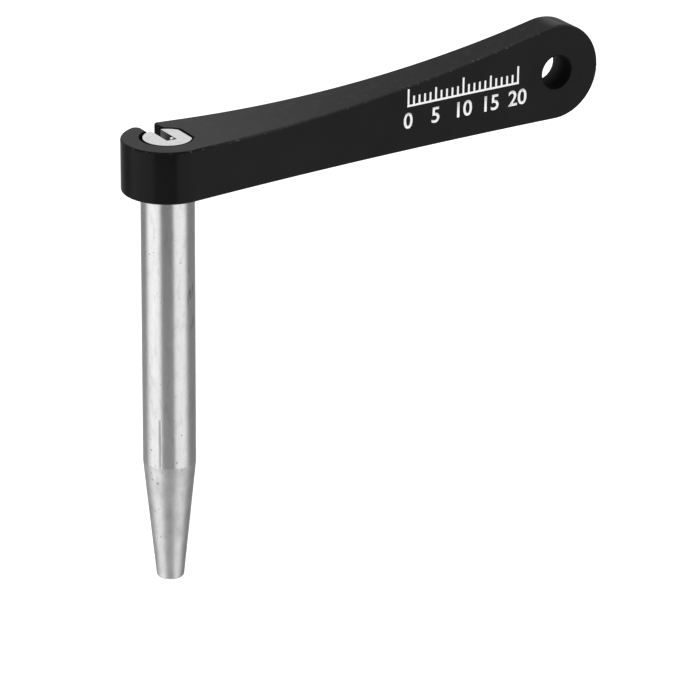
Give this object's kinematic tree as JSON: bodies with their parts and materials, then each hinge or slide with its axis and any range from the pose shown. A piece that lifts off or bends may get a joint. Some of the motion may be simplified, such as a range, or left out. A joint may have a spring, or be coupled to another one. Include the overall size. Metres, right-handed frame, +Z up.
{
  "type": "bladed spoke holder",
  "caption": "Hand tool that keeps a bladed bicycle spoke from twisting: a slotted, tapered steel shaft set square in the round head of a slim black handle with a hanging hole.",
  "frame": {"origin": "on the shaft's axis at the handle's underside, where the shaft's shoulder seats", "axes": "+X along the handle to the hanging hole, +Y to the open side of the slot, +Z up and away from the shaft's tip"},
  "size_m": [0.0804, 0.0135, 0.0772],
  "materials": {
    "black_anodised": "satin black anodised",
    "ground_steel": "ground and turned, satin"
  },
  "bodies": {
    "root": {"handle": "black_anodised", "slotted_shaft": "ground_steel"}
  },
  "joints": []
}
